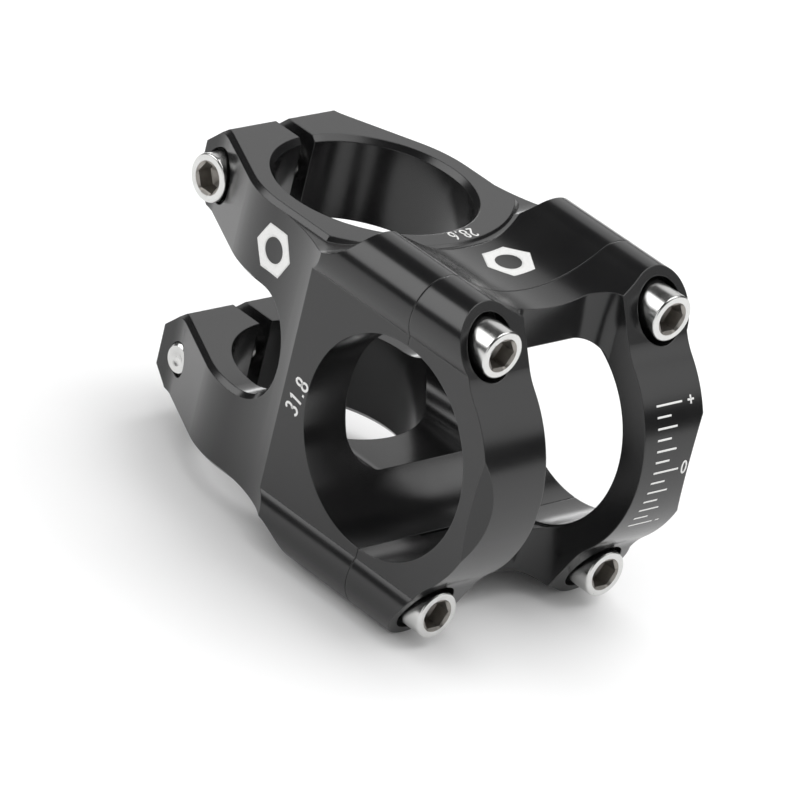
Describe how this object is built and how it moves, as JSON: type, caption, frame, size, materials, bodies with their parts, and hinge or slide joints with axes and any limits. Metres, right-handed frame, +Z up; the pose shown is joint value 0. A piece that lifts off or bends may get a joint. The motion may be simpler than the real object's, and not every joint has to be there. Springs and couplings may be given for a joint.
{
  "type": "handlebar stem",
  "caption": "Short bicycle handlebar stem: split steerer clamp, bar clamp with a windowed faceplate, and silver cap screws.",
  "frame": {"origin": "on the steerer axis, halfway up the steerer clamp, level with the handlebar axis", "axes": "+X forward from the steerer axis to the handlebar axis, +Y to the rider's left along the handlebar, +Z up the steerer axis"},
  "size_m": [0.0758, 0.0436, 0.052],
  "materials": {
    "black_anodised": "semi-gloss black anodised, machined",
    "bolt_steel": "polished steel",
    "mark_white": "laser-etched white marks"
  },
  "bodies": {
    "stem_body": {"stem_body": "black_anodised"},
    "faceplate": {"faceplate": "black_anodised"},
    "faceplate_bolt_upper_left": {"faceplate_bolt_upper_left": "bolt_steel"},
    "faceplate_bolt_upper_right": {"faceplate_bolt_upper_right": "bolt_steel"},
    "faceplate_bolt_lower_left": {"faceplate_bolt_lower_left": "bolt_steel"},
    "faceplate_bolt_lower_right": {"faceplate_bolt_lower_right": "bolt_steel"},
    "pinch_bolt_upper": {"pinch_bolt_upper": "bolt_steel"},
    "pinch_bolt_lower": {"pinch_bolt_lower": "bolt_steel"}
  },
  "joints": [
    {"name": "faceplate_slide", "type": "slide", "parent": "stem_body", "child": "faceplate", "axis": [1, 0, 0], "range_m": [0, 0.03]},
    {"name": "faceplate_bolt_upper_left_turn", "type": "hinge", "parent": "faceplate", "child": "faceplate_bolt_upper_left", "pos_m": [0.0386, 0.0162, 0.0204], "axis": [1, 0, 0], "continuous": true},
    {"name": "faceplate_bolt_upper_right_turn", "type": "hinge", "parent": "faceplate", "child": "faceplate_bolt_upper_right", "pos_m": [0.0386, -0.0162, 0.0204], "axis": [1, 0, 0], "continuous": true},
    {"name": "faceplate_bolt_lower_left_turn", "type": "hinge", "parent": "faceplate", "child": "faceplate_bolt_lower_left", "pos_m": [0.0386, 0.0162, -0.0204], "axis": [1, 0, 0], "continuous": true},
    {"name": "faceplate_bolt_lower_right_turn", "type": "hinge", "parent": "faceplate", "child": "faceplate_bolt_lower_right", "pos_m": [0.0386, -0.0162, -0.0204], "axis": [1, 0, 0], "continuous": true},
    {"name": "pinch_bolt_upper_turn", "type": "hinge", "parent": "stem_body", "child": "pinch_bolt_upper", "pos_m": [-0.0188, -0.0086, 0.01477], "axis": [0, -1, 0], "continuous": true},
    {"name": "pinch_bolt_lower_turn", "type": "hinge", "parent": "stem_body", "child": "pinch_bolt_lower", "pos_m": [-0.0188, 0.0086, -0.01477], "axis": [0, 1, 0], "continuous": true}
  ]
}
